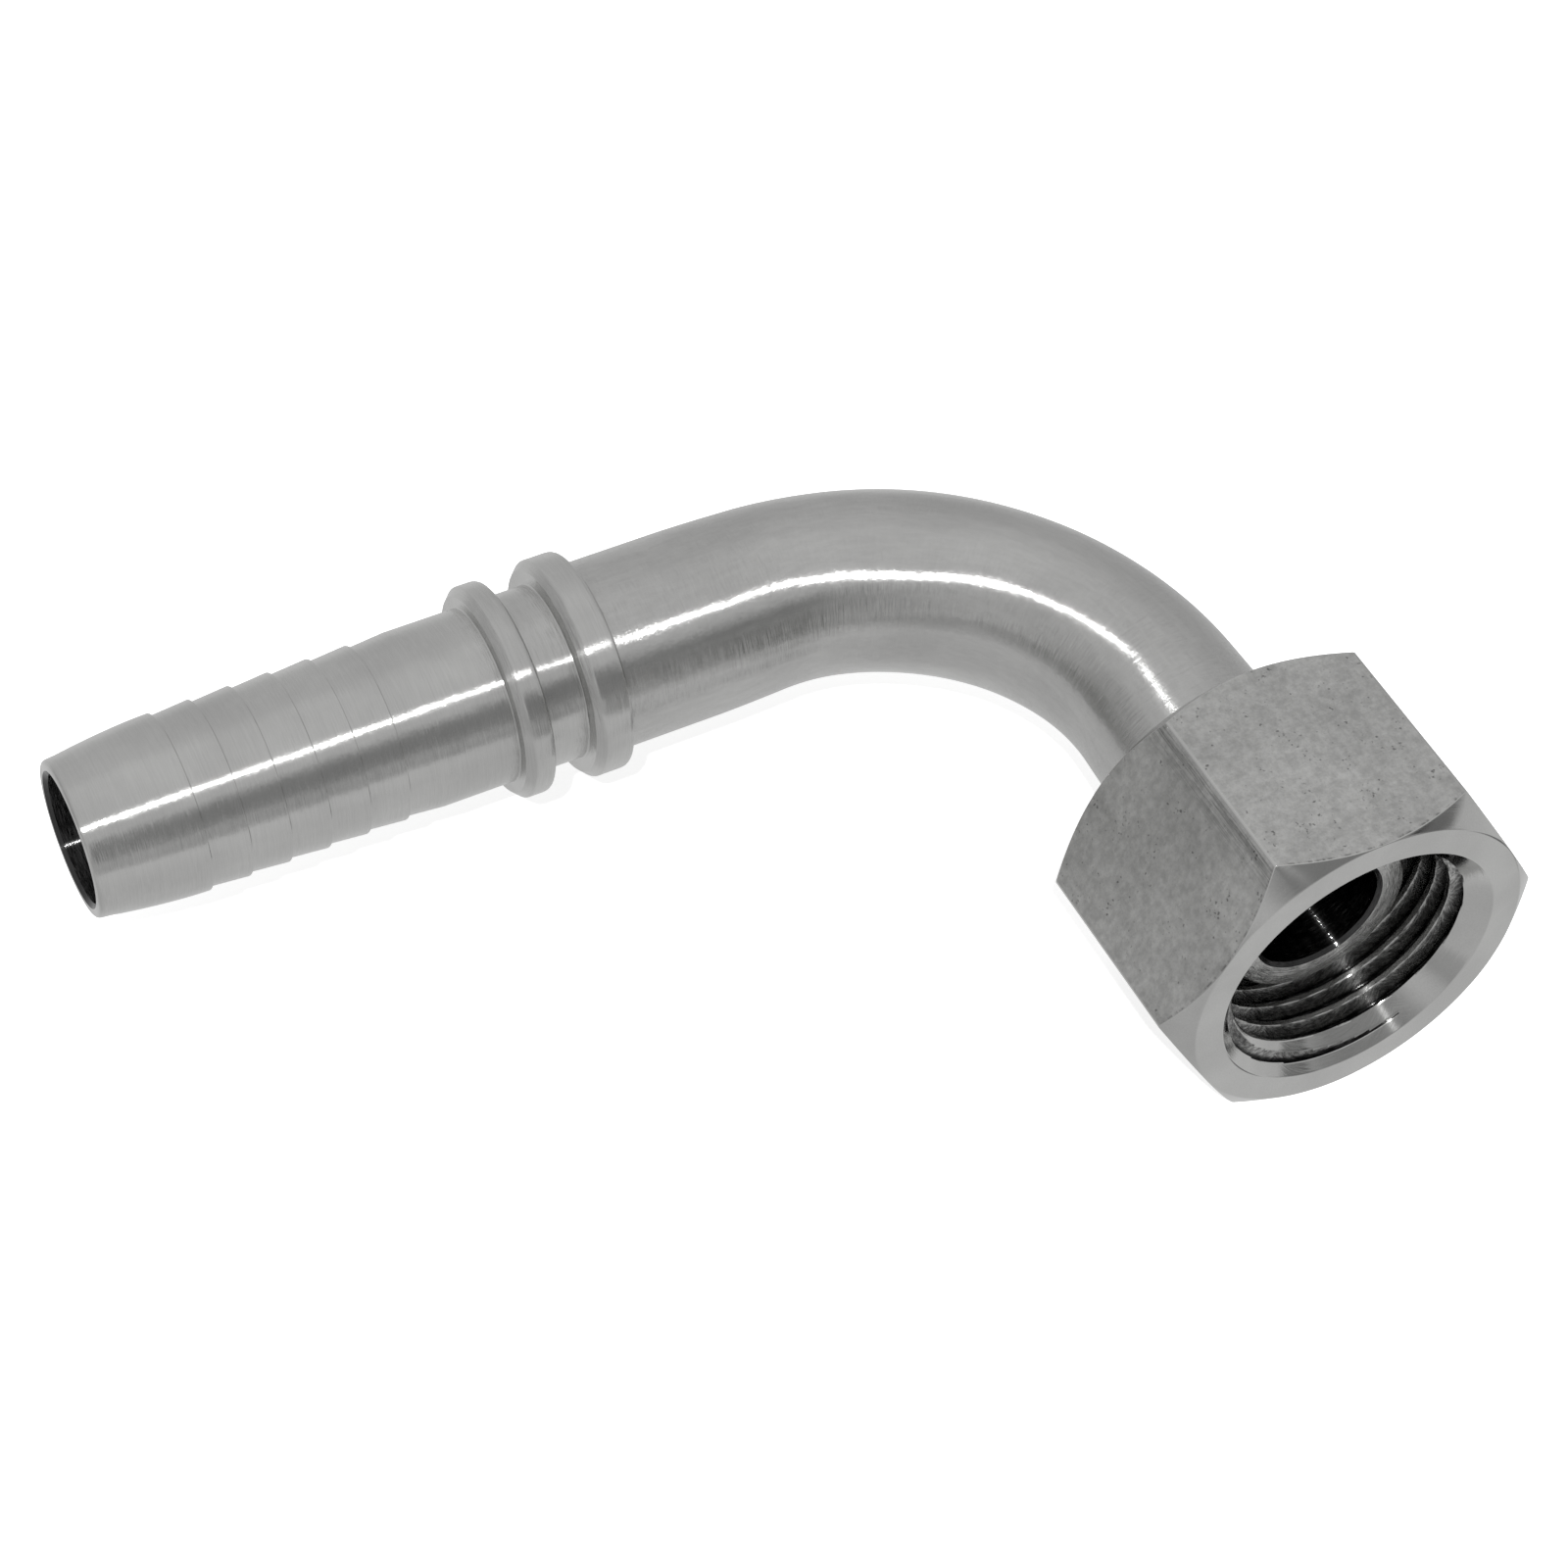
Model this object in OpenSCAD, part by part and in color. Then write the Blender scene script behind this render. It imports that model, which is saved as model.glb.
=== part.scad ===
// Ninety degree hose tail with a swivel nut, turned and bent in stainless steel.
// Its two axes lie level: the nut's runs along Y with the mouth to -Y, and the tail points to -X.
// The nut lies on one of its flats, and the origin is on its axis, at the outer end of its thread.

/* [Passage] */
// Diameter of the bore that runs from end to end
bore_d = 10; // [6:0.1:10.4]
// Size of the small chamfers at both mouths of the bore
mouth_chamfer = 0.3; // [0.1:0.05:0.45]

/* [Tube] */
// Outer diameter of the bent tube
tube_d = 14.7; // [14:0.1:16]
// Radius of the bend at the tube's centre line
bend_r = 23; // [15:0.5:30]

/* [Hose tail] */
// Distance from the nut's axis to the tip of the tail
tail_reach = 78; // [76:1:120]
// Outer diameter of the rounded lip at the tip
tip_d = 12.1; // [11.5:0.1:12.6]
// Rounding of the lip at the tip
lip_round = 0.4; // [0.2:0.05:0.6]
// Length of the nose, from the tip to the first crest
nose_len = 8.4; // [5:0.1:12]
// Diameter of the serration crests and of the plain neck
crest_d = 13.7; // [13.2:0.1:14]
// Depth of each serration
barb_depth = 0.25; // [0.15:0.05:0.6]
// Distance from one crest to the next
barb_pitch = 3.1; // [2:0.05:3.5]
// Length of the steep side of each serration
barb_back = 0.05; // [0.05:0.05:0.8]
// Number of serration crests, the nose's own included
barb_count = 6; // [2:1:6]

/* [Collars] */
// Distance from the tip to the front face of the first collar
collar_reach = 32.7; // [30:0.1:36]
// Diameter of the first collar
stop_d = 16.7; // [16.2:0.1:19]
// Diameter of the second collar
guard_d = 17.2; // [16.4:0.1:19.5]
// Width of the first collar
stop_w = 2.3; // [1.5:0.1:4]
// Width of the second collar
guard_w = 3; // [1.5:0.1:5]
// Width of the lock groove between the collars
groove_w = 3.3; // [1:0.1:5]
// Size of the chamfer on the front rim of each collar
collar_chamfer = 0.6; // [0.2:0.05:0.8]
// Size of the broken edge on the back rim of each collar
collar_edge = 0.35; // [0.05:0.05:0.5]

/* [Head] */
// Distance from the tail's axis to the flat end of the head
head_reach = 45.5; // [44:0.5:70]
// Diameter of the flat end, where the cone starts
seat_d = 14; // [12.5:0.1:15]
// Largest diameter of the head, which passes the thread
head_d = 18; // [17.2:0.1:18.2]
// Half of the sealing cone's included angle
cone_angle = 30; // [20:1:40]
// Length of the head's full diameter, behind the cone
head_land = 3.5; // [1.5:0.1:4]
// Slope of the shoulder that the nut pulls on
shoulder_angle = 45; // [35:1:60]

/* [Nut] */
// Width of the hexagon across its flats
nut_af = 27; // [26:0.5:32]
// Length of the nut
nut_len = 18; // [16:0.5:20]
// Diameter of the hexagon's faces inside their chamfers
nut_face_d = 25.3; // [24:0.1:25.9]
// Slope of the chamfers that trim the hexagon's corners
nut_chamfer_angle = 30; // [15:1:40]
// Diameter of the bore of the internal thread, across its crests
thread_d = 18.64; // [18.6:0.02:19]
// Length of the internal thread
thread_len = 8.5; // [6:0.1:9]
// Diameter of the countersink at the nut's mouth
sink_d = 22.4; // [21.2:0.1:23]
// Diameter of the relief groove behind the thread
relief_d = 21.4; // [20:0.1:22]
// Width of the relief groove
relief_w = 2; // [1:0.1:2.5]
// Gap at the side between the nut's back bore and the tube
tube_gap = 0.3; // [0.15:0.05:0.6]
// Gap between the nut's shoulder and the head's
seat_gap = 0.3; // [0.1:0.05:0.4]
// Size of the broken edges of the nut's back bore
nut_edge = 0.4; // [0.1:0.05:0.8]

/* [Hidden] */
$fn = 96;
eps = 0.01;

bore_r = bore_d / 2;
tube_r = tube_d / 2;
tip_r = tip_d / 2;
crest_r = crest_d / 2;
root_r = crest_r - barb_depth;
stop_r = stop_d / 2;
guard_r = guard_d / 2;
seat_r = seat_d / 2;
head_r = head_d / 2;
thread_r = thread_d / 2;
sink_r = sink_d / 2;

// Places along the tail, counted from the tip towards the bend
groove_start = collar_reach + stop_w;
groove_end = groove_start + groove_w;
tube_start = groove_end + guard_w;
tail_len = tail_reach - bend_r;

// Places along the nut's axis, counted from the flat end of the head towards the bend
cone_len = (head_r - seat_r) / tan(cone_angle);
shoulder_start = cone_len + head_land;
shoulder_len = (head_r - tube_r) / tan(shoulder_angle);
head_len = shoulder_start + shoulder_len;
leg_len = head_reach - bend_r;

// Inside the nut, counted from its mouth: its shoulder lies seat_gap from the head's,
// and both slope alike
back_r = tube_r + tube_gap;
sink_len = sink_r - thread_r;
relief_start = sink_len + thread_len;
seat_start = relief_start + relief_w;
seat_len = (thread_r - back_r) / tan(shoulder_angle);
seat_offset = seat_gap / sin(shoulder_angle) - (thread_r - head_r) / tan(shoulder_angle);
mouth_to_head = seat_start - shoulder_start - seat_offset;
nut_corner_r = nut_af / 2 / cos(30);

// Where the tail's axis lies, along the nut's
tail_y = head_reach + mouth_to_head - sink_len;

// The nose swells from the lip to the first crest in a curve that flattens towards the crest
NOSE_STEPS = 8;
NOSE_POWER = 1.6;
nose_curve = [for (i = [0 : NOSE_STEPS])
    let (u = i / NOSE_STEPS)
    [lip_round + u * (nose_len - lip_round), crest_r - (crest_r - tip_r) * pow(1 - u, NOSE_POWER)]];

// Outline of the tail's outside, from the lip to the start of the tube, as [distance, radius]
lip_arc = [for (a = [90 : -30 : 0])
    [lip_round - lip_round * sin(a), tip_r - lip_round + lip_round * cos(a)]];
barbs = [for (i = [0 : barb_count - 1])
    let (z = nose_len + i * barb_pitch)
    each [[z + barb_back, root_r], [z + barb_pitch, crest_r]]];
function collar(z, w, rim_r) = [
    [z, crest_r],
    [z, rim_r - collar_chamfer],
    [z + collar_chamfer, rim_r],
    [z + w - collar_edge, rim_r],
    [z + w, rim_r - collar_edge]];
tail_outline = concat(
    lip_arc, [for (i = [1 : NOSE_STEPS]) nose_curve[i]], barbs,
    collar(collar_reach, stop_w, stop_r), [[groove_start, crest_r]],
    collar(groove_end, guard_w, guard_r), [[tube_start, tube_r], [tail_len, tube_r]]);

// Outline of the leg and the head, from the flat end back to the bend
head_outline = [
    [0, bore_r + mouth_chamfer],
    [0, seat_r],
    [cone_len, head_r],
    [shoulder_start, head_r],
    [head_len, tube_r],
    [leg_len, tube_r],
    [leg_len, bore_r],
    [mouth_chamfer, bore_r]];

// Turns an outline of [distance, radius] points about the Z axis, with the distance up
module turned(outline) {
    rotate_extrude() polygon([for (p = outline) [p.y, p.x]]);
}

// The same with the distance down from the height len, so that the far end stands on the XY plane
module turned_down(outline, len) {
    turned([for (p = outline) [len - p.x, p.y]]);
}

// The straight part of the tail, with its tip up
module hose_tail() {
    turned_down(concat([[0, bore_r + mouth_chamfer]], tail_outline,
        [[tail_len, bore_r], [mouth_chamfer, bore_r]]), tail_len);
}

// A quarter of a hollow ring, from the tail's axis round to the nut's
module bend() {
    rotate_extrude(angle = 90) translate([bend_r, 0]) difference() {
        circle(r = tube_r);
        circle(r = bore_r);
    }
}

// The straight leg with the coned head up
module head() {
    turned_down(head_outline, leg_len);
}

// The whole hose tail in one piece, with its two axes crossing at the origin
module crossed_at_origin() {
    translate([-bend_r, 0, 0]) rotate([0, -90, 0]) hose_tail();
    translate([-bend_r, -bend_r, 0]) bend();
    translate([0, -bend_r, 0]) rotate([90, 0, 0]) head();
}

// Outline of what the chamfers leave of the hexagon, and of the nut's inside
nut_chamfer_len = (nut_corner_r - nut_face_d / 2) * tan(nut_chamfer_angle);
nut_envelope = [
    [0, 0],
    [0, nut_face_d / 2],
    [nut_chamfer_len, nut_corner_r],
    [nut_len - nut_chamfer_len, nut_corner_r],
    [nut_len, nut_face_d / 2],
    [nut_len, 0]];
nut_inside = [
    [-eps, 0],
    [-eps, sink_r + eps],
    [sink_len, thread_r],
    [relief_start, thread_r],
    [relief_start, relief_d / 2],
    [seat_start, relief_d / 2],
    [seat_start, thread_r],
    [seat_start + seat_len, back_r],
    [nut_len - nut_edge, back_r],
    [nut_len + eps, back_r + nut_edge + eps],
    [nut_len + eps, 0]];

// The nut with its mouth at the bottom
module upright_nut() {
    difference() {
        intersection() {
            cylinder(r = nut_corner_r, h = nut_len, $fn = 6);
            turned(nut_envelope);
        }
        turned(nut_inside);
    }
}

module elbow_body() {
    color([0.66, 0.66, 0.65])
        translate([0, tail_y, 0]) crossed_at_origin();
}

module swivel_nut() {
    color([0.58, 0.58, 0.57])
        translate([0, -sink_len, 0]) rotate([-90, 0, 0]) upright_nut();
}

elbow_body();
swivel_nut();
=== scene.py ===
"""Looks of the right-angle hose tail and its swivel nut: fine steel meshes, a white studio and the camera.

Outlines are in millimetres, as [distance, radius] points along the centre line of the piece.
"""

import math

import bpy
import numpy as np
from mathutils import Matrix, Vector


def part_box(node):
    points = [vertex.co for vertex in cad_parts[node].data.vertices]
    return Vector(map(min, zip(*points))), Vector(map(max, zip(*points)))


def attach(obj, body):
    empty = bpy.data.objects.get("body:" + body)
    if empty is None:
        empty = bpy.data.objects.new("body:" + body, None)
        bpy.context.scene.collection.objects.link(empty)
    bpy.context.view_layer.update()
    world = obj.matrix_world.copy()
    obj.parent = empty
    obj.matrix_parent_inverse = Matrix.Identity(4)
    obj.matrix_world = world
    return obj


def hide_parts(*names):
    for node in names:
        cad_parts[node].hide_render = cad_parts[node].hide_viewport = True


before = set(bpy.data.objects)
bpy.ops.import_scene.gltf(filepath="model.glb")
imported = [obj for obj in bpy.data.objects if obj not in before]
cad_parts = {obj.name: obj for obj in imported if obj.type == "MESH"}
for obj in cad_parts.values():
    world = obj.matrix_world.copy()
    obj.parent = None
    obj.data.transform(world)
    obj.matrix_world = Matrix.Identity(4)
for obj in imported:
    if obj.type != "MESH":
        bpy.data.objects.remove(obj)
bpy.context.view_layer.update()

MM = 0.001
PI = math.pi

# The hose tail, from its tip towards the bend
BORE_R = 5.0
MOUTH_CHAMFER = 0.3
TIP_R = 6.05
LIP = 0.4
NOSE_LEN = 8.4
NOSE_POWER = 1.6
NOSE_STEPS = 12
CREST_R = 6.85
BARB_DEPTH = 0.25
BARB_PITCH = 3.1
BARB_BACK = 0.05
BARB_COUNT = 6
COLLAR_AT = 32.7
STOP_R = 8.35
STOP_W = 2.3
GUARD_R = 8.6
GUARD_W = 3.0
GROOVE_W = 3.3
COLLAR_CHAMFER = 0.6
CREST_ROUND = 0.06
LAST_CREST_ROUND = 0.3
ROOT_ROUND = 0.08
COLLAR_ROUND = 0.15
COLLAR_RIM_ROUND = 0.3
COLLAR_BACK_ROUND = 0.5
TUBE_START = COLLAR_AT + STOP_W + GROOVE_W + GUARD_W

# The bent tube. Bending drew it thinner near the tail and flattened it near the nut: shares of its radius
# in the plane of the bend and square to it, on the tail's side and on the nut's
TUBE_R = 7.35
BEND_R = 23.0
THINNED_IN_PLANE = (0.041, 0.095)
THINNED_UPRIGHT = (0.041, 0.01)
THINNING_RAMP = 6.0
# The length over which the tube gets round again, and the share of it that lies behind the bend
RETURN_RAMP = 24.0
RETURN_BEHIND = 0.6
# Where along the bend the flattening begins and over what length it grows, as shares of the bend
FLATTENED_FROM = 0.3
FLATTENED_OVER = 0.33
RING_POINTS = 192
BEND_RINGS = 90

# The coned head
SEAT_R = 7.0
HEAD_R = 9.0
CONE_ANGLE = math.radians(30)
HEAD_LAND = 3.5
SHOULDER_ANGLE = math.radians(45)
SHOULDER_ROUND = 0.3
CONE_FOOT_ROUND = 0.25
SEAT_ROUND = 0.15
MOUTH_ROUND = 0.06

# The nut, from its mouth. The thread's start is in turns, and its flats are shares of its pitch
FACE_R = 13.45
CHAMFER_SLOPE = math.tan(math.radians(38.5))
CORNER_ROUND = 0.3
SINK_R = 11.2
THREAD_R = 9.32
THREAD_ROOT_R = 10.48
THREAD_PITCH = 25.4 / 14
THREAD_START = 0.325
THREAD_ROOT_FLAT = 0.14
THREAD_CREST_FLAT = 0.22
THREAD_LEN = 8.5
THREAD_ROWS = 150
RELIEF_R = 10.7
RELIEF_W = 2.0
BACK_R = TUBE_R + 0.3
BACK_EDGE = 0.4
FACE_ROUND = 0.35
BACK_FACE_ROUND = 0.5
CHAMFER_ROUND = 0.12
EDGE_ROUND = 0.1
HOLLOW_ROUND = 0.2
FLAT_COLUMNS = 36
CORNER_COLUMNS = 10

# The materials of each piece, in the order of its slots, and where the elbow's change
TURNED, DRAWN, BORED = range(3)
FLATS, FACED, THREADED = range(3)
DRAWN_FROM = TUBE_START + 0.2
TURNED_HEAD_LEN = 12.0
TOLERANCE = 0.01

# Points of an outline in a rounded corner, less one, and the most of a side that a corner may take
ROUND_STEPS = 4
SIDE_SHARE = 0.45

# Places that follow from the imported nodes
elbow_low, elbow_high = (Vector(c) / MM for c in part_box("elbow_body"))
nut_low, nut_high = (Vector(c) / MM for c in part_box("swivel_nut"))
TAIL_REACH = -elbow_low.x
TAIL_Y = elbow_high.y - GUARD_R
HEAD_Y = elbow_low.y
NUT_MOUTH = nut_low.y
NUT_LEN = nut_high.y - nut_low.y
HALF_AF = nut_high.z
FLOOR_Z = nut_low.z

TAIL_LEN = TAIL_REACH - BEND_R
BEND_LEN = BEND_R * PI / 2
LEG_LEN = TAIL_Y - BEND_R - HEAD_Y
LINE_LEN = TAIL_LEN + BEND_LEN + LEG_LEN


def ease(t):
    """A smooth step from 0 to 1 while t goes from 0 to 1."""
    t = min(max(t, 0.0), 1.0)
    return t * t * (3 - 2 * t)


def rounded(points):
    """Outline points from (distance, radius, rounding) corners, with each rounded corner as a short curve."""
    out = []
    for i, (d, r, rho) in enumerate(points):
        p = np.array([d, r], float)
        if rho <= 0 or i in (0, len(points) - 1):
            out.append(p)
            continue
        a = np.array(points[i - 1][:2], float) - p
        b = np.array(points[i + 1][:2], float) - p
        la, lb = np.hypot(*a), np.hypot(*b)
        half = 0.5 * math.acos(max(-1.0, min(1.0, (a @ b) / (la * lb))))
        t = min(rho / math.tan(half), SIDE_SHARE * la, SIDE_SHARE * lb)
        start, end = p + a / la * t, p + b / lb * t
        for k in range(ROUND_STEPS + 1):
            u = k / ROUND_STEPS
            out.append((1 - u) ** 2 * start + 2 * u * (1 - u) * p + u * u * end)
    return out


# Meshes

def mesh_object(name, verts, faces, marks, face_materials, materials, sharp_deg=38):
    """A smooth-shaded mesh with the point attributes in marks.

    straight is the place on the straightened piece, in millimetres. turned is the length along the outline
    with the cosine and sine of the angle. around is the direction round the axis. flat is the place on one
    of the nut's flats: the distance behind the mouth's chamfer, that across the flat, and its number."""
    mesh = bpy.data.meshes.new(name)
    mesh.from_pydata([Vector(v) * MM for v in verts], [], faces)
    for mark, values in marks.items():
        mesh.attributes.new(mark, "FLOAT_VECTOR", "POINT")
        mesh.attributes[mark].data.foreach_set("vector", np.asarray(values, np.float32).ravel())
    for m in materials:
        mesh.materials.append(m)
    mesh.polygons.foreach_set("material_index", np.asarray(face_materials, np.int32))
    mesh.polygons.foreach_set("use_smooth", np.ones(len(faces), bool))
    mesh.validate()
    mesh.set_sharp_from_angle(angle=math.radians(sharp_deg))
    obj = bpy.data.objects.new(name, mesh)
    bpy.context.scene.collection.objects.link(obj)
    return obj


def loop_faces(rings, points):
    """Quads between neighbouring rings, the last joined to the first."""
    faces = []
    for i in range(rings):
        a, b = i * points, (i + 1) % rings * points
        for j in range(points):
            k = (j + 1) % points
            faces.append((a + j, a + k, b + k, b + j))
    return faces


# The hose tail

def thinned(s, shares):
    """The share by which the tube is thinner at s along the line from the tip: 0 well outside the bend."""
    begun = ease((s - TAIL_LEN + THINNING_RAMP) / (2 * THINNING_RAMP))
    left = ease((TAIL_LEN + BEND_LEN - s) / RETURN_RAMP + RETURN_BEHIND)
    along = ease((s - TAIL_LEN - FLATTENED_FROM * BEND_LEN) / (FLATTENED_OVER * BEND_LEN))
    return begun * left * (shares[0] + (shares[1] - shares[0]) * along)


def centre_line(s):
    """Centre, and the direction away from the inside of the bend, at s along the line from the tip."""
    if s < TAIL_LEN:
        return Vector((s - TAIL_REACH, TAIL_Y, 0)), Vector((0, 1, 0))
    if s > TAIL_LEN + BEND_LEN:
        return Vector((0, TAIL_Y - BEND_R - (s - TAIL_LEN - BEND_LEN), 0)), Vector((1, 0, 0))
    q = (s - TAIL_LEN) / BEND_R
    out = Vector((math.sin(q), math.cos(q), 0))
    return Vector((-BEND_R, TAIL_Y - BEND_R, 0)) + BEND_R * out, out


def tail_corners():
    """The tail's outside, from the lip to the start of the tube."""
    pts = [(0, TIP_R, LIP)]
    for i in range(1, NOSE_STEPS + 1):
        u = i / NOSE_STEPS
        d = LIP + u * (NOSE_LEN - LIP)
        r = CREST_R - (CREST_R - TIP_R) * (1 - u) ** NOSE_POWER
        pts.append((d, r, CREST_ROUND if i == NOSE_STEPS else 0))
    for i in range(BARB_COUNT):
        d = NOSE_LEN + i * BARB_PITCH
        crest_round = LAST_CREST_ROUND if i == BARB_COUNT - 1 else CREST_ROUND
        pts += [(d + BARB_BACK, CREST_R - BARB_DEPTH, ROOT_ROUND), (d + BARB_PITCH, CREST_R, crest_round)]
    second = COLLAR_AT + STOP_W + GROOVE_W
    for d, w, rim_r, after in ((COLLAR_AT, STOP_W, STOP_R, CREST_R), (second, GUARD_W, GUARD_R, TUBE_R)):
        pts += [(d, CREST_R, COLLAR_ROUND), (d, rim_r - COLLAR_CHAMFER, COLLAR_ROUND),
                (d + COLLAR_CHAMFER, rim_r, COLLAR_RIM_ROUND), (d + w, rim_r, COLLAR_BACK_ROUND),
                (d + w, after, COLLAR_ROUND)]
    return pts


def head_corners():
    """From the end of the bend to the mouth of the bore, counted back from the flat end of the head."""
    cone_len = (HEAD_R - SEAT_R) / math.tan(CONE_ANGLE)
    shoulder = cone_len + HEAD_LAND
    shoulder_len = (HEAD_R - TUBE_R) / math.tan(SHOULDER_ANGLE)
    back = [(shoulder + shoulder_len, TUBE_R, SHOULDER_ROUND), (shoulder, HEAD_R, SHOULDER_ROUND),
            (cone_len, HEAD_R, CONE_FOOT_ROUND), (0, SEAT_R, SEAT_ROUND),
            (0, BORE_R + MOUTH_CHAMFER, MOUTH_ROUND)]
    return [(LINE_LEN - d, r, rho) for d, r, rho in back]


def elbow_outline():
    """The closed outline of the elbow: along the outside to the head, and back along the bore."""
    first, run = TAIL_LEN - 1.5 * THINNING_RAMP, BEND_LEN + 3 * THINNING_RAMP
    bend_steps = [first + run * i / BEND_RINGS for i in range(BEND_RINGS + 1)]
    outside = [(0, BORE_R + MOUTH_CHAMFER, 0.0)] + tail_corners()
    outside += [(s, TUBE_R, 0) for s in bend_steps] + head_corners()
    mouth_s = LINE_LEN - MOUTH_CHAMFER
    inside = [(mouth_s, BORE_R, 0)] + [(s, BORE_R, 0) for s in reversed(bend_steps)]
    inside += [(TAIL_LEN * i / 8, BORE_R, 0) for i in range(6, 0, -1)] + [(MOUTH_CHAMFER, BORE_R, 0)]
    return rounded(outside + inside)


def lengths_along(outline):
    """Length along an outline up to each of its points."""
    steps = np.hypot(*np.diff(np.array(outline), axis=0).T)
    return np.concatenate([[0], np.cumsum(steps)])


def make_elbow(turned, drawn, bored):
    outline = elbow_outline()
    lengths = lengths_along(outline)
    verts, marks = [], {"straight": [], "turned": [], "around": []}
    for (s, r), length in zip(outline, lengths):
        centre, out = centre_line(s)
        wide, tall = r * (1 - thinned(s, THINNED_IN_PLANE)), r * (1 - thinned(s, THINNED_UPRIGHT))
        for j in range(RING_POINTS):
            a = 2 * PI * j / RING_POINTS
            verts.append(centre + out * (wide * math.cos(a)) + Vector((0, 0, tall * math.sin(a))))
            marks["straight"].append((s, r * math.cos(a), r * math.sin(a)))
            marks["turned"].append((length, math.cos(a), math.sin(a)))
            marks["around"].append(Vector((0, 0, math.cos(a))) - out * math.sin(a))
    faces = loop_faces(len(outline), RING_POINTS)
    zones = []
    for i in range(len(outline)):
        (s0, r0), (s1, r1) = outline[i], outline[(i + 1) % len(outline)]
        in_bore = max(r0, r1) < BORE_R + MOUTH_CHAMFER + TOLERANCE
        on_lathe = max(s0, s1) < DRAWN_FROM or min(s0, s1) > LINE_LEN - TURNED_HEAD_LEN
        zones += [BORED if in_bore else TURNED if on_lathe else DRAWN] * RING_POINTS
    return mesh_object("elbow_skin", verts, faces, marks, zones, [turned, drawn, bored])


# The swivel nut

def hexagon_columns():
    """Points round a hexagon with rounded corners and with flats up and down.

    Each is (angle, radius, place across the flat from its middle, number of the flat, in a corner or not)."""
    cols = []
    inner = (HALF_AF - CORNER_ROUND) / math.cos(PI / 6)
    half_flat = (HALF_AF - CORNER_ROUND) * math.tan(PI / 6)
    for side in range(6):
        mid = side * PI / 3 + PI / 6
        for i in range(FLAT_COLUMNS):
            t = half_flat * (-1 + 2 * (i + 0.5) / FLAT_COLUMNS)
            cols.append((mid + math.atan2(t, HALF_AF), math.hypot(t, HALF_AF), t, side, False))
        corner = mid + PI / 6
        for i in range(CORNER_COLUMNS + 1):
            a = PI / 3 * (i / CORNER_COLUMNS - 0.5)
            x = inner + CORNER_ROUND * math.cos(a)
            z = CORNER_ROUND * math.sin(a)
            cols.append((corner + math.atan2(z, x), math.hypot(x, z), half_flat, side, i < CORNER_COLUMNS))
    return cols


def thread_radius(d, angle):
    """Radius of the nut's inside at distance d from the mouth: a right-handed thread behind a countersink."""
    phase = (d / THREAD_PITCH + angle / (2 * PI) + THREAD_START) % 1.0
    height = (abs(2 * phase - 1) - THREAD_ROOT_FLAT) / (1 - THREAD_ROOT_FLAT - THREAD_CREST_FLAT)
    height = min(max(height, 0.0), 1.0)
    return max(THREAD_ROOT_R - (THREAD_ROOT_R - THREAD_R) * height, SINK_R - d)


def nut_column(hex_r, angle):
    """The nut's closed outline at one angle, with the material of each step along it."""
    chamfer_len = (hex_r - FACE_R) * CHAMFER_SLOPE
    sink_len = SINK_R - THREAD_R
    relief_at = sink_len + THREAD_LEN
    seat_at = relief_at + RELIEF_W
    seat_len = (THREAD_R - BACK_R) / math.tan(SHOULDER_ANGLE)
    corners = [
        (0, SINK_R + 0.1, 0),
        (0, FACE_R, FACE_ROUND),
        (chamfer_len, hex_r, CHAMFER_ROUND),
        (NUT_LEN - chamfer_len, hex_r, CHAMFER_ROUND),
        (NUT_LEN, FACE_R, BACK_FACE_ROUND),
        (NUT_LEN, BACK_R + BACK_EDGE, EDGE_ROUND),
        (NUT_LEN - BACK_EDGE, BACK_R, EDGE_ROUND),
        (seat_at + seat_len, BACK_R, HOLLOW_ROUND),
        (seat_at, THREAD_R, EDGE_ROUND),
        (seat_at, RELIEF_R, HOLLOW_ROUND),
        (relief_at, RELIEF_R, 0)]
    outline = rounded(corners)
    # The first corner is one point, and each rounded one is several
    per_corner = ROUND_STEPS + 1
    flats_at, back_bore_at = 2 * per_corner, 1 + 5 * per_corner
    zones = [FACED] * len(outline)
    zones[flats_at] = FLATS
    zones[back_bore_at:] = [THREADED] * (len(outline) - back_bore_at)
    for i in range(THREAD_ROWS + 1):
        d = relief_at * (1 - i / THREAD_ROWS)
        r = thread_radius(d, angle)
        outline.append(np.array([d, r]))
        zones.append(FACED if d + r < SINK_R + TOLERANCE else THREADED)
    return outline, zones


def make_nut(flats, turned, thread):
    columns = hexagon_columns()
    built = [nut_column(column[1], column[0]) for column in columns]
    rings, points = len(built[0][0]), len(columns)
    lengths = [lengths_along(outline) for outline, _ in built]
    verts, zones, marks = [], [], {"straight": [], "turned": [], "around": [], "flat": []}
    for i in range(rings):
        for (angle, hex_r, across, side, corner), (outline, kinds), length in zip(columns, built, lengths):
            (d, r), zone = outline[i], kinds[i]
            x, z = math.cos(angle), math.sin(angle)
            verts.append((r * x, NUT_MOUTH + d, r * z))
            marks["straight"].append((d, r * x, r * z))
            marks["turned"].append((length[i], x, z))
            marks["around"].append((-z, 0, x))
            marks["flat"].append((d - (hex_r - FACE_R) * CHAMFER_SLOPE, across, side))
            zones.append(FACED if corner and zone == FLATS else zone)
    faces = loop_faces(rings, points)
    return mesh_object("nut_skin", verts, faces, marks, zones, [flats, turned, thread], sharp_deg=50)


# Materials

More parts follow.
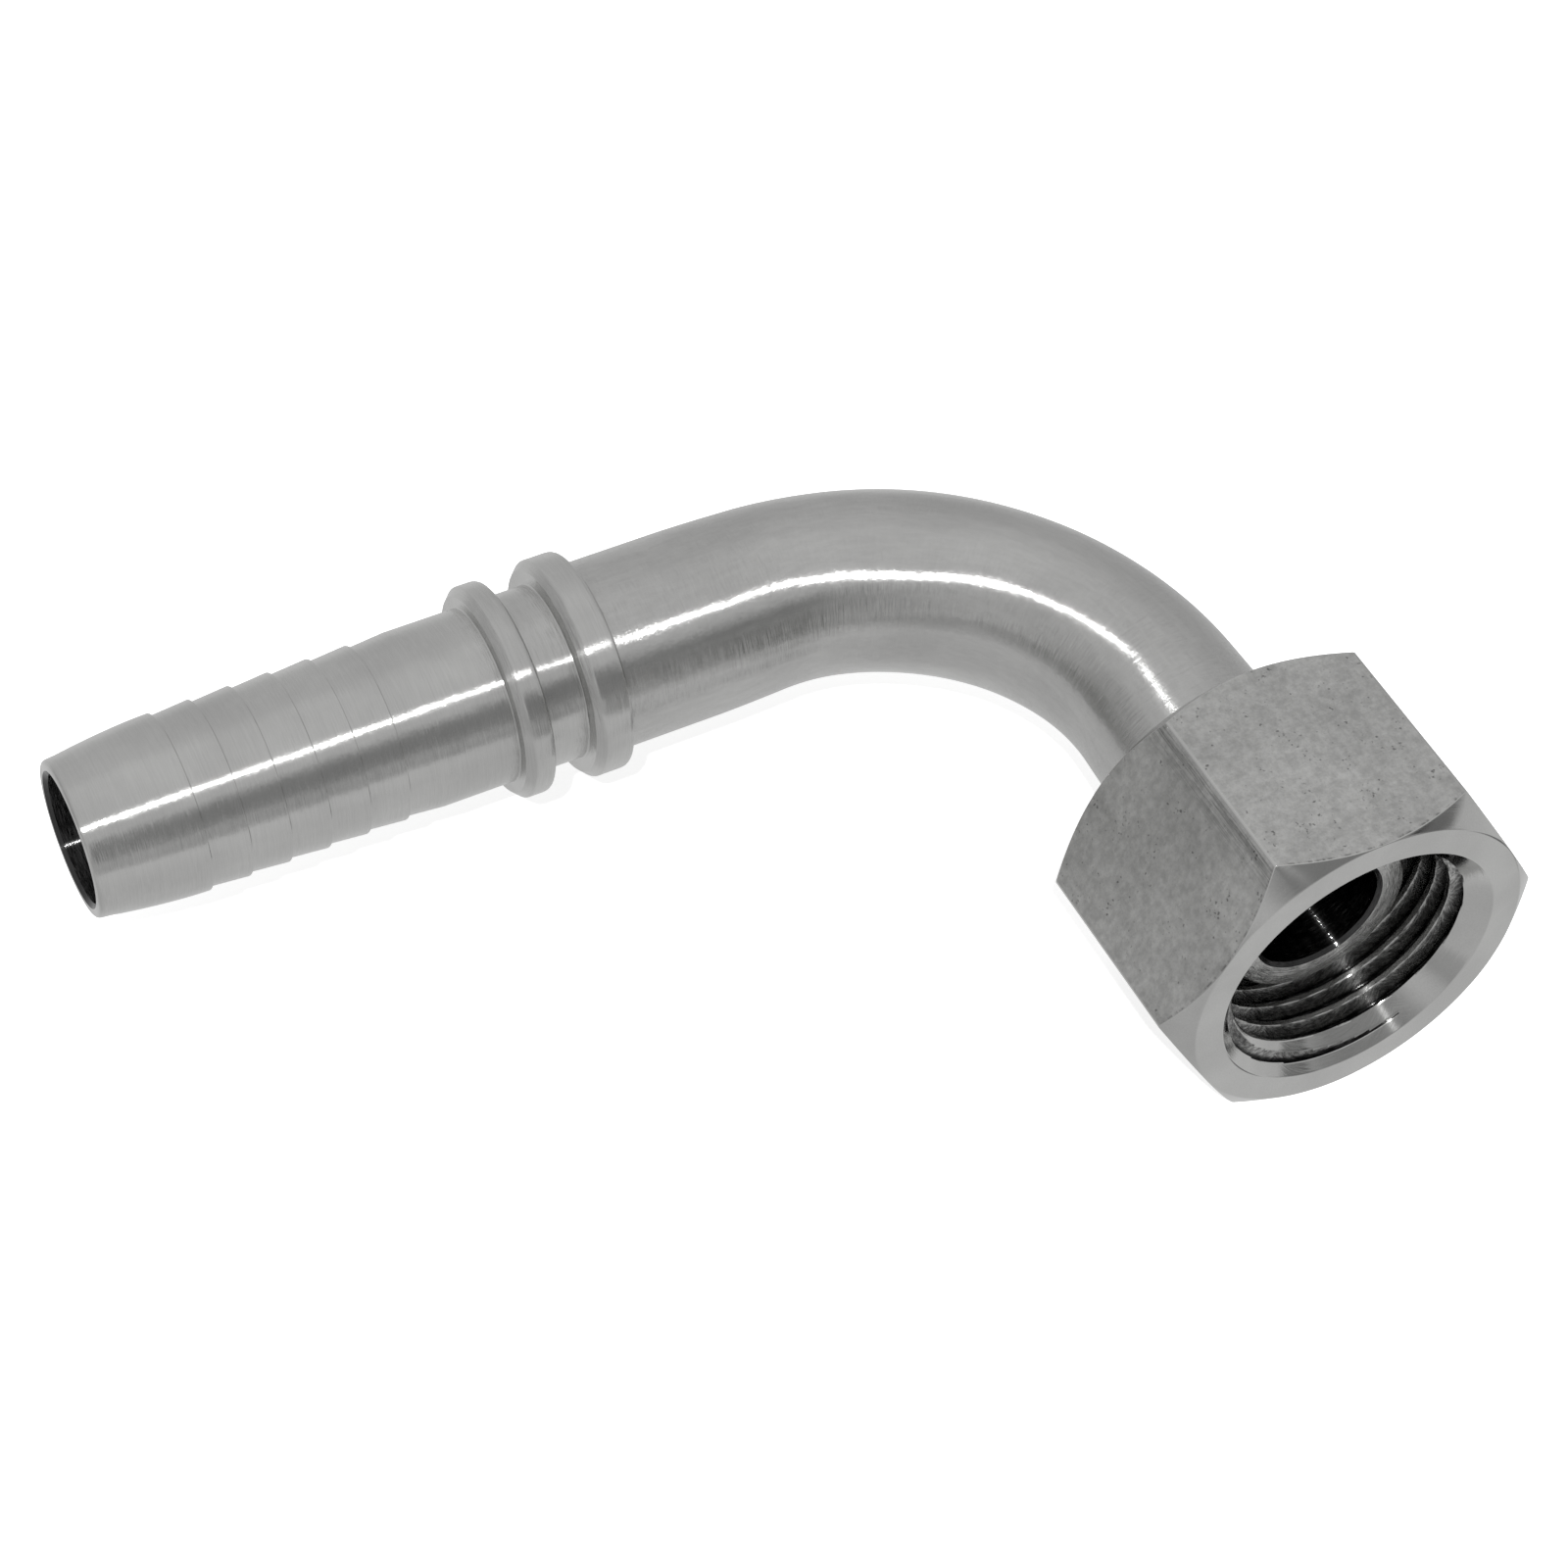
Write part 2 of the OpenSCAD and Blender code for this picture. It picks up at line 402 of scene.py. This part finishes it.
class Nodes:
    """Short calls for building one node tree."""

    def __init__(self, tree):
        self.tree = tree

    def add(self, kind, inputs=None, **settings):
        node = self.tree.nodes.new(kind)
        for key, value in settings.items():
            setattr(node, key, value)
        for key, value in (inputs or {}).items():
            if isinstance(value, bpy.types.NodeSocket):
                self.tree.links.new(value, node.inputs[key])
            else:
                node.inputs[key].default_value = value
        return node

    def math(self, operation, a, b=0.0, clamp=False):
        return self.add("ShaderNodeMath", {0: a, 1: b}, operation=operation, use_clamp=clamp).outputs[0]

    def scaled(self, vector, scale):
        return self.add("ShaderNodeVectorMath", {0: vector, 1: scale}, operation="MULTIPLY").outputs[0]

    def noise(self, vector, detail=3.0, rough=0.55):
        inputs = {"Vector": vector, "Scale": 1.0, "Detail": detail, "Roughness": rough}
        return self.add("ShaderNodeTexNoise", inputs).outputs["Fac"]

    def between(self, value, low, high, to_low, to_high):
        inputs = {0: value, 1: low, 2: high, 3: to_low, 4: to_high}
        return self.add("ShaderNodeMapRange", inputs, interpolation_type="SMOOTHSTEP").outputs[0]

    def in_world(self, direction):
        node = self.add("ShaderNodeVectorTransform", {0: direction}, vector_type="VECTOR")
        node.convert_from, node.convert_to = "OBJECT", "WORLD"
        return node.outputs[0]


# Turning grooves: how many lie in a millimetre, and how often they change round the piece
GROOVES_PER_MM = 80.0
GROOVE_CHANGES = 5

# The drawing die scored one flat most, along the edge that it shares with the top flat. These are the places
# across a flat where the scores are at their fullest and where they end, and how strong they are
SCORED_FLAT = 2
SCORES_FULL, SCORES_END = -7.2, -4.9
SCORE_DARKNESS = 0.55
SCORES_ELSEWHERE = 0.12

# The painted shadow line on the flats just behind the mouth's chamfer: where it starts to fade, where it
# ends, and how dark it is
EDGE_SHADOW_FADES, EDGE_SHADOW_ENDS = 0.05, 0.3
EDGE_SHADOW_DARKNESS = 0.6

# The thread by its radius, with painted shade in its grooves: where the bright crest fades out, and where the
# flank's painted shade deepens into the near black root
CREST_FADES = (THREAD_R + 0.02, THREAD_R + 0.14)
FLANK_DARKENS = (THREAD_ROOT_R - 0.35, THREAD_ROOT_R - 0.05)
FLANK_SHADE_TONE, ROOT_SHADE_TONE = 0.85, 0.06
CREST_RAGGEDNESS = 0.4

# Pits: how many fit in a millimetre, with their largest radius as a share of that spacing, and their depth
PITS = ((1.1, 0.24), (2.4, 0.42))
PIT_DEPTH = 0.01


def add_grooves(n, shader, normal, tilt):
    """Turning grooves too fine to see: they tilt the normal along the outline, up and down by chance."""
    around = n.in_world(n.add("ShaderNodeAttribute", attribute_name="around").outputs["Vector"])
    across = n.add("ShaderNodeVectorMath", {0: normal, 1: around}, operation="CROSS_PRODUCT").outputs[0]
    turned = n.add("ShaderNodeAttribute", attribute_name="turned").outputs["Vector"]
    chance = n.noise(n.scaled(turned, (GROOVES_PER_MM, GROOVE_CHANGES, GROOVE_CHANGES)), detail=1.0)
    slope = n.math("MULTIPLY", n.math("SUBTRACT", chance, 0.5), tilt)
    leaning = n.add("ShaderNodeVectorMath", {0: across, "Scale": slope}, operation="SCALE").outputs[0]
    tilted = n.add("ShaderNodeVectorMath", {0: normal, 1: leaning}, operation="ADD").outputs[0]
    tilted = n.add("ShaderNodeVectorMath", {0: tilted}, operation="NORMALIZE").outputs[0]
    n.tree.links.new(tilted, shader.inputs["Normal"])
    n.tree.links.new(across, shader.inputs["Tangent"])
    shader.inputs["Anisotropic"].default_value = 1.0


def draw_marks(n):
    """How bright the flats are: less at the die's scores, and along a ragged painted shadow line just behind
    the mouth's chamfer.
    """
    flat = n.add("ShaderNodeAttribute", attribute_name="flat").outputs["Vector"]
    part = n.add("ShaderNodeSeparateXYZ", {0: flat})
    behind, across, side = (part.outputs[axis] for axis in "XYZ")
    other = n.math("ABSOLUTE", n.math("SUBTRACT", side, float(SCORED_FLAT)))
    share = n.between(other, 0.0, 0.5, 1.0, SCORES_ELSEWHERE)
    near = n.math("MULTIPLY", n.between(across, SCORES_FULL, SCORES_END, 1.0, 0.0), share)
    lines = n.noise(n.scaled(flat, (0.16, 4.5, 3.7)), detail=5.0, rough=0.8)
    scored = n.math("MULTIPLY", near, n.between(lines, 0.38, 0.66, 0.0, SCORE_DARKNESS))
    # A ragged painted shadow line along the flats' edge behind the mouth's chamfer
    ragged = n.noise(n.scaled(flat, (0.3, 1.6, 2.9)), detail=3.0, rough=0.7)
    edge = n.between(behind, EDGE_SHADOW_FADES, EDGE_SHADOW_ENDS, 1.0, 0.0)
    edge_shadow = n.math("MULTIPLY", edge, n.between(ragged, 0.45, 0.62, 0.0, EDGE_SHADOW_DARKNESS))
    return n.math("SUBTRACT", n.math("SUBTRACT", 1.0, scored), edge_shadow, clamp=True)


def thread_groove_shade(n, place):
    """How bright the thread is: 1 at its crests, with uneven painted shade on its flanks that deepens to near
    black in its roots and in the relief groove behind it.
    """
    part = n.add("ShaderNodeSeparateXYZ", {0: place})
    y, z = part.outputs["Y"], part.outputs["Z"]
    radius = n.math("SQRT", n.math("ADD", n.math("MULTIPLY", y, y), n.math("MULTIPLY", z, z)))
    turned = n.add("ShaderNodeAttribute", attribute_name="turned").outputs["Vector"]
    ragged = n.noise(n.scaled(turned, (2.5, 4.0, 4.0)), detail=4.0, rough=0.7)
    offset = n.math("MULTIPLY", n.math("SUBTRACT", ragged, 0.5), CREST_RAGGEDNESS)
    height = n.math("SUBTRACT", radius, offset)
    torn = n.noise(n.scaled(turned, (5.0, 16.0, 16.0)), detail=4.0, rough=0.75)
    # Painted shade: the flanks darken unevenly towards the root, and the root and relief groove are near
    # black
    flank = n.math("MULTIPLY", n.between(height, *FLANK_DARKENS, FLANK_SHADE_TONE, ROOT_SHADE_TONE),
                   n.between(torn, 0.35, 0.65, 0.3, 1.15))
    crest_level = n.between(height, *CREST_FADES, 1.0, 0.0)
    return n.math("MAXIMUM", crest_level, flank)


def with_pits(n, place, tone, height, darkness):
    """The tone and the height with pits of uneven outline, which lie closer in some places than in others."""
    for per_mm, largest in PITS:
        bent = n.noise(n.scaled(place, (2.0 * per_mm,) * 3), detail=1.0)
        spots = n.scaled(place, (per_mm,) * 3)
        cells = n.add("ShaderNodeTexVoronoi", {"Vector": spots, "Scale": 1.0}, feature="F1")
        here = n.noise(n.scaled(place, (0.6,) * 3), detail=3.0)
        uneven = n.between(bent, 0.35, 0.65, 0.3, 1.5)
        size = n.math("MULTIPLY", n.between(here, 0.35, 0.75, 0.0, largest), uneven)
        pit = n.between(n.math("SUBTRACT", size, cells.outputs["Distance"]), 0.0, 0.3, 0.0, 1.0)
        tone = n.math("MULTIPLY", tone, n.math("SUBTRACT", 1.0, n.math("MULTIPLY", pit, darkness)))
        height = n.math("SUBTRACT", height, n.math("MULTIPLY", pit, PIT_DEPTH))
    return tone, height


def steel(name, color, rough, rough_spread, grain, grain_depth, streak, streak_depth,
          streak_tone=0.04, stain=0.06, wave=0.0, pits=0.0, tilt=0.0, groove_shade=False):
    """Stainless steel with a fine grain, streaks along or round the piece and faint stains.

    grain and streak scale the straightened place, in cycles per millimetre. wave is the height in millimetres
    of slow unevenness, and tilt is the slope of turning grooves. pits is how dark the pits of a drawn surface
    are, which also has a mottle and the die's marks, and groove_shade asks for painted shade in a thread's
    grooves."""
    mat = bpy.data.materials.new(name)
    mat.use_nodes = True
    n = Nodes(mat.node_tree)
    shader = mat.node_tree.nodes["Principled BSDF"]
    place = n.add("ShaderNodeAttribute", attribute_name="straight").outputs["Vector"]
    grain_f = n.noise(n.scaled(place, grain), detail=4.0)
    streak_f = n.noise(n.scaled(place, streak), detail=5.0, rough=0.65)
    stain_f = n.noise(n.scaled(place, (0.11, 0.16, 0.16)), detail=3.0)
    tone = n.between(stain_f, 0.3, 0.7, 1 - stain, 1 + stain)
    tone = n.math("MULTIPLY", tone, n.between(streak_f, 0.2, 0.8, 1 - streak_tone, 1 + streak_tone))
    fine = n.math("MULTIPLY", grain_f, grain_depth)
    height = n.math("ADD", fine, n.math("MULTIPLY", streak_f, streak_depth))
    if wave:
        uneven = n.noise(n.scaled(place, (0.9, 0.7, 0.7)), detail=3.0, rough=0.6)
        height = n.math("ADD", height, n.math("MULTIPLY", uneven, wave))
    if pits:
        tone, height = with_pits(n, place, tone, height, pits)
        mottle = n.noise(n.scaled(place, (1.3, 1.3, 1.3)), detail=5.0, rough=0.75)
        tone = n.math("MULTIPLY", tone, n.between(mottle, 0.3, 0.7, 0.84, 1.14))
        tone = n.math("MULTIPLY", tone, draw_marks(n))
    # Painted shade in the thread's flanks, roots and relief groove, set by radius
    if groove_shade:
        tone = n.math("MULTIPLY", tone, thread_groove_shade(n, place))
    shade = n.add("ShaderNodeVectorMath", {0: tuple(color), "Scale": tone}, operation="SCALE").outputs[0]
    mat.node_tree.links.new(shade, shader.inputs["Base Color"])
    roughness = n.between(stain_f, 0.25, 0.75, rough - rough_spread, rough + rough_spread)
    mat.node_tree.links.new(roughness, shader.inputs["Roughness"])
    bump = n.add("ShaderNodeBump", {"Height": height, "Strength": 1.0, "Distance": MM})
    mat.node_tree.links.new(bump.outputs["Normal"], shader.inputs["Normal"])
    if tilt:
        add_grooves(n, shader, bump.outputs["Normal"], tilt)
    shader.inputs["Metallic"].default_value = 1.0
    return mat


# The studio

# The floor: half its side in metres, its colour and glow for the camera, and what the steel sees of it
FLOOR_HALF = 3.0
FLOOR_COLOR = (0.9, 0.9, 0.9, 1)
FLOOR_GLOW = 0.62
FLOOR_GLOSS_COLOR = (0.62, 0.62, 0.62, 1)
FLOOR_GLOSS_LIGHT = 0.9


def make_floor():
    mesh = bpy.data.meshes.new("floor")
    half, z = FLOOR_HALF, FLOOR_Z * MM
    corners = [(-half, -half, z), (half, -half, z), (half, half, z), (-half, half, z)]
    mesh.from_pydata(corners, [], [(0, 1, 2, 3)])
    floor = bpy.data.objects.new("floor", mesh)
    bpy.context.scene.collection.objects.link(floor)
    mat = bpy.data.materials.new("floor_white")
    mat.use_nodes = True
    tree = mat.node_tree
    tree.nodes.clear()
    n = Nodes(tree)
    pale = n.add("ShaderNodeBsdfDiffuse", {"Color": FLOOR_COLOR}).outputs[0]
    glow = n.add("ShaderNodeEmission", {"Color": (1, 1, 1, 1), "Strength": FLOOR_GLOW}).outputs[0]
    seen = n.add("ShaderNodeAddShader", {0: pale, 1: glow}).outputs[0]
    gloss = {"Color": FLOOR_GLOSS_COLOR, "Strength": FLOOR_GLOSS_LIGHT}
    mirrored = n.add("ShaderNodeEmission", gloss).outputs[0]
    camera_ray = n.add("ShaderNodeLightPath").outputs["Is Camera Ray"]
    mixed = n.add("ShaderNodeMixShader", {0: camera_ray, 1: mirrored, 2: seen}).outputs[0]
    n.add("ShaderNodeOutputMaterial", {"Surface": mixed})
    mesh.materials.append(mat)
    floor.visible_glossy = False


# The studio's light by height above the horizon: (elevation in degrees, radiance)
SKY = [(-90, 0.62), (-18, 0.62), (0, 0.57), (25, 0.57), (50, 0.58), (66, 0.66), (90, 0.67)]
# Darker parts of the studio, in degrees: azimuth from -Y towards +X, elevation, half widths, softness, depth
DARK_PATCHES = [
    (10, 20, 33, 17, 0.35, 0.32),
    (22, -5, 24, 8, 0.4, 0.20),
    (47, 8, 11, 10, 0.3, 0.38),
    (60, -34, 14, 9, 0.3, 0.45),
    (41, -12, 11, 8, 0.35, 0.25),
    (-121, 3, 35, 25, 0.35, 0.14),
    (-57, -6, 40, 10, 0.4, 0.16),
    (-62, -50, 60, 30, 0.5, 0.10),
    (130, 8, 35, 28, 0.5, 0.09)]
LAMP_AZIMUTH, LAMP_ELEVATION, LAMP_ANGLE, LAMP_LIGHT = -32.2, 52.5, 1.6, 2.3


def make_lamp():
    az, el = math.radians(LAMP_AZIMUTH), math.radians(LAMP_ELEVATION)
    data = bpy.data.lights.new("lamp", "SUN")
    data.angle = math.radians(LAMP_ANGLE)
    data.energy = LAMP_LIGHT
    data.cycles.max_bounces = 0
    lamp = bpy.data.objects.new("lamp", data)
    towards = Vector((math.sin(az) * math.cos(el), -math.cos(az) * math.cos(el), math.sin(el)))
    lamp.rotation_euler = towards.to_track_quat("Z", "Y").to_euler()
    bpy.context.scene.collection.objects.link(lamp)


def make_world():
    world = bpy.data.worlds.new("studio")
    world.use_nodes = True
    tree = world.node_tree
    tree.nodes.clear()
    n = Nodes(tree)
    direction = n.add("ShaderNodeTexCoord").outputs["Generated"]
    xyz = n.add("ShaderNodeSeparateXYZ", {0: direction})
    elevation = n.math("MULTIPLY", n.math("ARCSINE", xyz.outputs["Z"]), 180 / PI)
    forward = n.math("MULTIPLY", xyz.outputs["Y"], -1.0)
    azimuth = n.math("MULTIPLY", n.math("ARCTAN2", xyz.outputs["X"], forward), 180 / PI)
    ramp = n.add("ShaderNodeValToRGB", {"Fac": n.math("DIVIDE", n.math("ADD", elevation, 90.0), 180.0)})
    ramp.color_ramp.interpolation = "EASE"
    stops = ramp.color_ramp.elements
    while len(stops) < len(SKY):
        stops.new(0.5)
    for stop, (deg, level) in zip(stops, SKY):
        stop.position = (deg + 90) / 180
        stop.color = (level, level, level, 1)
    light = ramp.outputs["Color"]
    for az, el, half_az, half_el, soft, depth in DARK_PATCHES:
        x = n.math("DIVIDE", n.math("SUBTRACT", azimuth, az), half_az)
        y = n.math("DIVIDE", n.math("SUBTRACT", elevation, el), half_el)
        away = n.math("SQRT", n.math("ADD", n.math("MULTIPLY", x, x), n.math("MULTIPLY", y, y)))
        light = n.math("SUBTRACT", light, n.between(away, 1 - soft, 1 + soft, depth, 0.0))
    studio = n.add("ShaderNodeBackground", {"Color": light, "Strength": 1.0}).outputs[0]
    white = n.add("ShaderNodeBackground", {"Color": (1, 1, 1, 1), "Strength": 1.0}).outputs[0]
    camera_ray = n.add("ShaderNodeLightPath").outputs["Is Camera Ray"]
    mixed = n.add("ShaderNodeMixShader", {0: camera_ray, 1: studio, 2: white}).outputs[0]
    n.add("ShaderNodeOutputWorld", {"Surface": mixed})
    bpy.context.scene.world = world


# The camera, fitted to the photograph. Its place is counted from where the two axes cross, in millimetres
CAMERA_AZIMUTH, CAMERA_ELEVATION, CAMERA_ROLL = -28.436, 48.937, 2.048
CAMERA_SHIFT_X, CAMERA_SHIFT_Y, CAMERA_DISTANCE = 17.884, 21.481, 313.673
FOCAL_PX, FRAME_PX, SENSOR_MM = 4084.95, 1600, 36.0


def make_camera():
    az, el, roll = (math.radians(a) for a in (CAMERA_AZIMUTH, CAMERA_ELEVATION, CAMERA_ROLL))
    back = Vector((math.sin(az) * math.cos(el), -math.cos(az) * math.cos(el), math.sin(el)))
    level = Vector((math.cos(az), math.sin(az), 0))
    upright = back.cross(level)
    right = level * math.cos(roll) + upright * math.sin(roll)
    up = upright * math.cos(roll) - level * math.sin(roll)
    crossing = Vector((0, TAIL_Y, 0))
    place = crossing - right * CAMERA_SHIFT_X - up * CAMERA_SHIFT_Y + back * CAMERA_DISTANCE
    data = bpy.data.cameras.new("camera")
    data.sensor_width = SENSOR_MM
    data.lens = SENSOR_MM * FOCAL_PX / FRAME_PX
    data.clip_start, data.clip_end = 0.01, 20
    camera = bpy.data.objects.new("camera", data)
    turn = Matrix((right, up, back)).transposed().to_4x4()
    camera.matrix_world = Matrix.Translation(place * MM) @ turn
    bpy.context.scene.collection.objects.link(camera)
    bpy.context.scene.camera = camera


# The finished pieces, in their studio

STEEL = (0.60, 0.60, 0.59)
turned_steel = steel("turned_steel", STEEL, 0.17, 0.02, grain=(4, 4, 4), grain_depth=0.0016,
                     streak=(9, 0.25, 0.25), streak_depth=0.0008, wave=0.018, tilt=1.4)
drawn_steel = steel("drawn_steel", STEEL, 0.22, 0.03, grain=(4, 4, 4), grain_depth=0.004,
                    streak=(0.5, 2.0, 2.0), streak_depth=0.0008, stain=0.05, wave=0.025, tilt=2.3)
# Painted shade: the bore's steel is darkened to near black, yet glossy enough to keep its highlight line
bore_shade_steel = steel("bore_shade_steel", (0.07, 0.07, 0.07), 0.15, 0.02, grain=(4, 4, 4), grain_depth=0.0016,
                   streak=(9, 0.25, 0.25), streak_depth=0.0008, tilt=2.4)
nut_flat_steel = steel("nut_flat_steel", (0.54, 0.54, 0.53), 0.36, 0.05, grain=(2.0, 2.0, 2.0),
                       grain_depth=0.03, streak=(2.5, 0.9, 0.9), streak_depth=0.006, streak_tone=0.07,
                       stain=0.07, pits=0.55)
nut_turned_steel = steel("nut_turned_steel", STEEL, 0.09, 0.02, grain=(4, 4, 4), grain_depth=0.001,
                         streak=(7, 7, 7), streak_depth=0.0008, tilt=0.25)
# The thread's steel carries painted shade in its grooves
thread_steel = steel("thread_steel", (0.58, 0.58, 0.57), 0.18, 0.02, grain=(4, 4, 4), grain_depth=0.001,
                     streak=(7, 0.3, 0.3), streak_depth=0.001, tilt=0.9, groove_shade=True)

elbow = make_elbow(turned_steel, drawn_steel, bore_shade_steel)
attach(elbow, "tail")
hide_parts("elbow_body")

nut = make_nut(nut_flat_steel, nut_turned_steel, thread_steel)
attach(nut, "nut")
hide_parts("swivel_nut")

make_floor()
make_world()
make_lamp()
make_camera()

scene = bpy.context.scene
scene.view_settings.view_transform = "Standard"
